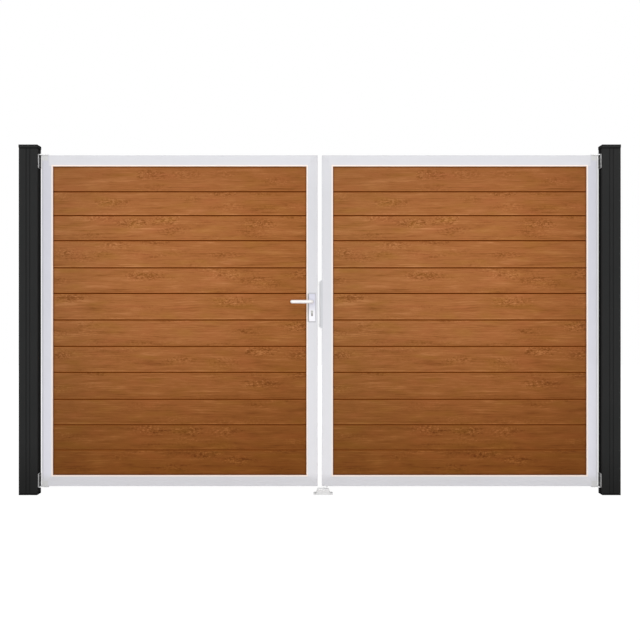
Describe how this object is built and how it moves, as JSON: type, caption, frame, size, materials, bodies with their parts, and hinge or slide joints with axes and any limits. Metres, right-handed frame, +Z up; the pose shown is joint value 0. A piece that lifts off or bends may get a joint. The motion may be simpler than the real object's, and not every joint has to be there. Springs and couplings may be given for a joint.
{
  "type": "double swing gate with posts",
  "caption": "Double swing gate: aluminium-framed leaves filled with horizontal oak-look boards, on pivots between grooved posts, with lever lock, keep, drop bolt and ground stop.",
  "frame": {"origin": "centre of the left post's foot, on the ground", "axes": "+X along the gate from the left post to the right one, -Y to the front, where the handle side is seen, +Z up"},
  "size_m": [3.265, 0.1565, 1.9],
  "materials": {
    "anthracite_coat": "matte",
    "silver_frame": "satin",
    "oak_board": "satin",
    "cast_aluminium": "satin",
    "zinc_steel": "satin",
    "satin_steel": "satin",
    "black_nylon": "matte"
  },
  "bodies": {
    "root": {"left_post": "anthracite_coat", "right_post": "anthracite_coat", "left_post_cap": "anthracite_coat", "right_post_cap": "anthracite_coat", "left_top_hinge": "zinc_steel", "left_bottom_hinge": "zinc_steel", "right_top_hinge": "zinc_steel", "right_bottom_hinge": "zinc_steel", "ground_stop": "cast_aluminium"},
    "left_leaf": {"left_top_rail": "silver_frame", "left_bottom_rail": "silver_frame", "left_hinge_stile": "silver_frame", "left_lock_stile": "silver_frame", "left_boards": "oak_board", "left_pivot_blocks": "cast_aluminium", "left_pivot_bushes": "black_nylon", "lock_case": "zinc_steel", "lock_forend": "zinc_steel", "latch_bolt": "zinc_steel", "dead_bolt": "zinc_steel", "lock_cylinder": "satin_steel", "front_handle_plate": "satin_steel", "rear_handle_plate": "satin_steel"},
    "lever": {"front_lever": "satin_steel", "rear_lever": "satin_steel", "lever_spindle": "satin_steel"},
    "right_leaf": {"right_top_rail": "silver_frame", "right_bottom_rail": "silver_frame", "right_hinge_stile": "silver_frame", "right_lock_stile": "silver_frame", "right_boards": "oak_board", "right_pivot_blocks": "cast_aluminium", "right_pivot_bushes": "black_nylon", "keep_plate": "cast_aluminium", "keep_body": "cast_aluminium", "drop_bolt_guides": "zinc_steel"},
    "drop_bolt": {"drop_bolt_rod": "zinc_steel", "drop_bolt_collar": "zinc_steel"}
  },
  "joints": [
    {"name": "left_leaf_swing", "type": "hinge", "parent": "root", "child": "left_leaf", "pos_m": [0.089, 0, 0], "axis": [0, 0, 1], "range_deg": [0, 100]},
    {"name": "right_leaf_swing", "type": "hinge", "parent": "root", "child": "right_leaf", "pos_m": [3.073, 0, 0], "axis": [0, 0, -1], "range_deg": [0, 100]},
    {"name": "lever_turn", "type": "hinge", "parent": "left_leaf", "child": "lever", "pos_m": [1.539, 0, 1.048], "axis": [0, -1, 0], "range_deg": [0, 40], "stiffness_Nm_per_rad": 1, "springref_deg": -45.84},
    {"name": "drop_bolt_slide", "type": "slide", "parent": "right_leaf", "child": "drop_bolt", "axis": [0, 0, -1], "range_m": [0, 0.03]}
  ]
}
